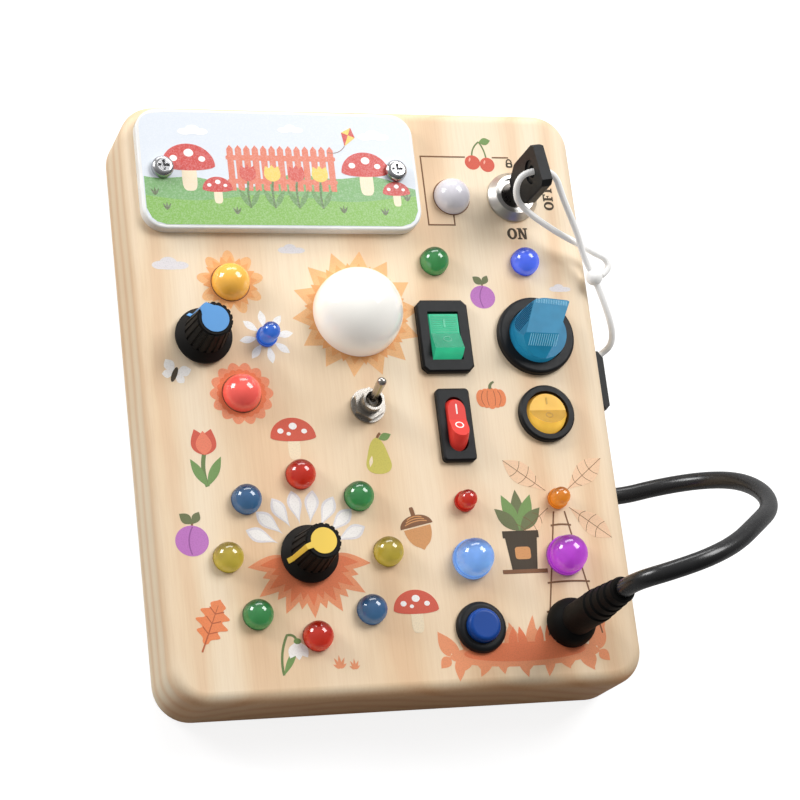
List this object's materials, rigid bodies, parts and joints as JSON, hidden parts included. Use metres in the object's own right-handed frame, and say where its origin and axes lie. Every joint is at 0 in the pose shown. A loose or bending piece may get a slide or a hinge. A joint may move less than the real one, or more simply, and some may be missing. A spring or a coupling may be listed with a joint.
{
  "type": "wooden busy board",
  "caption": "Pine busy board for a toddler with lamps, knobs, rockers, a toggle, a key switch on a tether, a push button and a plug on a looped lead.",
  "frame": {"origin": "centre of the flat back face", "axes": "+Z out of the face that carries the switches, +Y up the board towards the title plate, +X to the board's right, where the lead leaves it"},
  "size_m": [0.1639, 0.168, 0.0793],
  "materials": {
    "pine": "satin clear-coated pine",
    "birch_ply": "plain plywood back",
    "printed_plate": null,
    "zinc_screw": "zinc-plated screws",
    "white_plastic": "moulded battery box and door",
    "cell_jacket": "plain cell jacket",
    "contact_steel": "nickel-plated contacts",
    "red_lamp": "tinted lamp resin",
    "green_lamp": "tinted lamp resin",
    "olive_lamp": "tinted lamp resin",
    "steel_blue_lamp": "tinted lamp resin",
    "royal_blue_lamp": "tinted lamp resin",
    "orange_lamp": "tinted lamp resin",
    "sky_lamp": "tinted lamp resin",
    "purple_lamp": "tinted lamp resin",
    "yellow_cap": "lamp cap",
    "lilac_cap": "key lamp cap",
    "coral_cap": "lamp cap",
    "white_cap": "milky lamp cap",
    "circuit_board": "lamp board",
    "black_plastic": "moulded black plastic",
    "blue_plastic": "knob cap",
    "yellow_plastic": "knob pointer",
    "switch_metal": "pot cans, shafts, toggle and nuts",
    "green_rocker": "translucent ribbed rocker",
    "red_rocker": "rocker with printed marks",
    "amber_rocker": "rocker with moulded marks",
    "blue_grip": "translucent ribbed grip",
    "navy_cap": "button cap",
    "spring_steel": "spring wire",
    "lock_chrome": "plated lock barrel",
    "lock_steel": "core and blade",
    "key_plastic": "key head",
    "cable_rubber": "cable jacket, plug and boot",
    "cord_fabric": "white braided cord"
  },
  "bodies": {
    "board": {"board_body": "pine", "back_panel": "birch_ply", "back_screws": "zinc_screw", "battery_box": "white_plastic", "battery_cells": "cell_jacket", "battery_contacts": "contact_steel", "battery_door": "white_plastic", "title_plate": "printed_plate", "plate_screws": "zinc_screw", "red_lamps": "red_lamp", "green_lamps": "green_lamp", "olive_lamps": "olive_lamp", "steel_blue_lamps": "steel_blue_lamp", "royal_blue_lamp": "royal_blue_lamp", "small_red_lamp": "red_lamp", "small_orange_lamp": "orange_lamp", "daisy_lamp": "royal_blue_lamp", "sky_lamp": "sky_lamp", "purple_lamp": "purple_lamp", "yellow_lamp": "yellow_cap", "coral_lamp": "coral_cap", "sun_lamp": "white_cap", "key_lamp": "lilac_cap", "lamp_boards": "circuit_board", "dimmer_pot": "switch_metal", "selector_switch": "switch_metal", "panel_nuts": "switch_metal", "toggle_body": "switch_metal", "toggle_nut": "switch_metal", "toggle_washer": "switch_metal", "green_rocker_frame": "black_plastic", "red_rocker_frame": "black_plastic", "round_rocker_frame": "black_plastic", "rotary_ring": "black_plastic", "push_bezel": "black_plastic", "push_spring": "spring_steel", "lock_barrel": "lock_chrome", "plug_socket": "black_plastic", "cable": "cable_rubber", "tether": "cord_fabric", "tether_knot": "cord_fabric", "tether_clamp": "black_plastic"},
    "dimmer": {"dimmer_shaft": "switch_metal", "dimmer_knob": "black_plastic", "dimmer_cap": "blue_plastic"},
    "selector": {"selector_shaft": "switch_metal", "selector_knob": "black_plastic", "selector_pointer": "yellow_plastic"},
    "toggle": {"toggle_lever": "switch_metal"},
    "green_rocker_body": {"green_rocker": "green_rocker"},
    "red_rocker_body": {"red_rocker": "red_rocker"},
    "round_rocker_body": {"round_rocker": "amber_rocker"},
    "rotary": {"rotary_grip": "blue_grip"},
    "push": {"push_cap": "navy_cap"},
    "key": {"lock_core": "lock_steel", "key_blade": "lock_steel", "key_head": "key_plastic"},
    "plug": {"plug_body": "cable_rubber", "plug_boot": "cable_rubber"}
  },
  "joints": [
    {"name": "dimmer_turn", "type": "hinge", "parent": "board", "child": "dimmer", "pos_m": [-0.0488, 0.0158, 0.031], "axis": [0, 0, 1], "range_deg": [-180, 90]},
    {"name": "selector_turn", "type": "hinge", "parent": "board", "child": "selector", "pos_m": [-0.0259, -0.0453, 0.031], "axis": [0, 0, 1], "continuous": true},
    {"name": "toggle_throw", "type": "hinge", "parent": "board", "child": "toggle", "pos_m": [-0.0047, -0.0043, 0.0265], "axis": [1, 0, 0], "range_deg": [0, 25]},
    {"name": "green_rocker_throw", "type": "hinge", "parent": "board", "child": "green_rocker_body", "pos_m": [0.0196, 0.0152, 0.0225], "axis": [1, 0, 0], "range_deg": [0, 26]},
    {"name": "red_rocker_throw", "type": "hinge", "parent": "board", "child": "red_rocker_body", "pos_m": [0.0196, -0.0105, 0.0225], "axis": [1, 0, 0], "range_deg": [0, 26]},
    {"name": "round_rocker_throw", "type": "hinge", "parent": "board", "child": "round_rocker_body", "pos_m": [0.0468, -0.0076, 0.0225], "axis": [1, 0, 0], "range_deg": [0, 26]},
    {"name": "rotary_turn", "type": "hinge", "parent": "board", "child": "rotary", "pos_m": [0.0468, 0.0152, 0.028], "axis": [0, 0, 1], "range_deg": [0, 90]},
    {"name": "key_turn", "type": "hinge", "parent": "board", "child": "key", "pos_m": [0.0458, 0.0574, 0.028], "axis": [0, 0, 1], "range_deg": [0, 90], "deforming": ["tether"]},
    {"name": "push_travel", "type": "slide", "parent": "board", "child": "push", "axis": [0, 0, -1], "range_m": [0, 0.0018], "stiffness_N_per_m": 200, "deforming": ["push_spring"]},
    {"name": "plug_pull", "type": "slide", "parent": "board", "child": "plug", "axis": [0, 0, 1], "range_m": [0, 0.012], "deforming": ["cable"]}
  ]
}
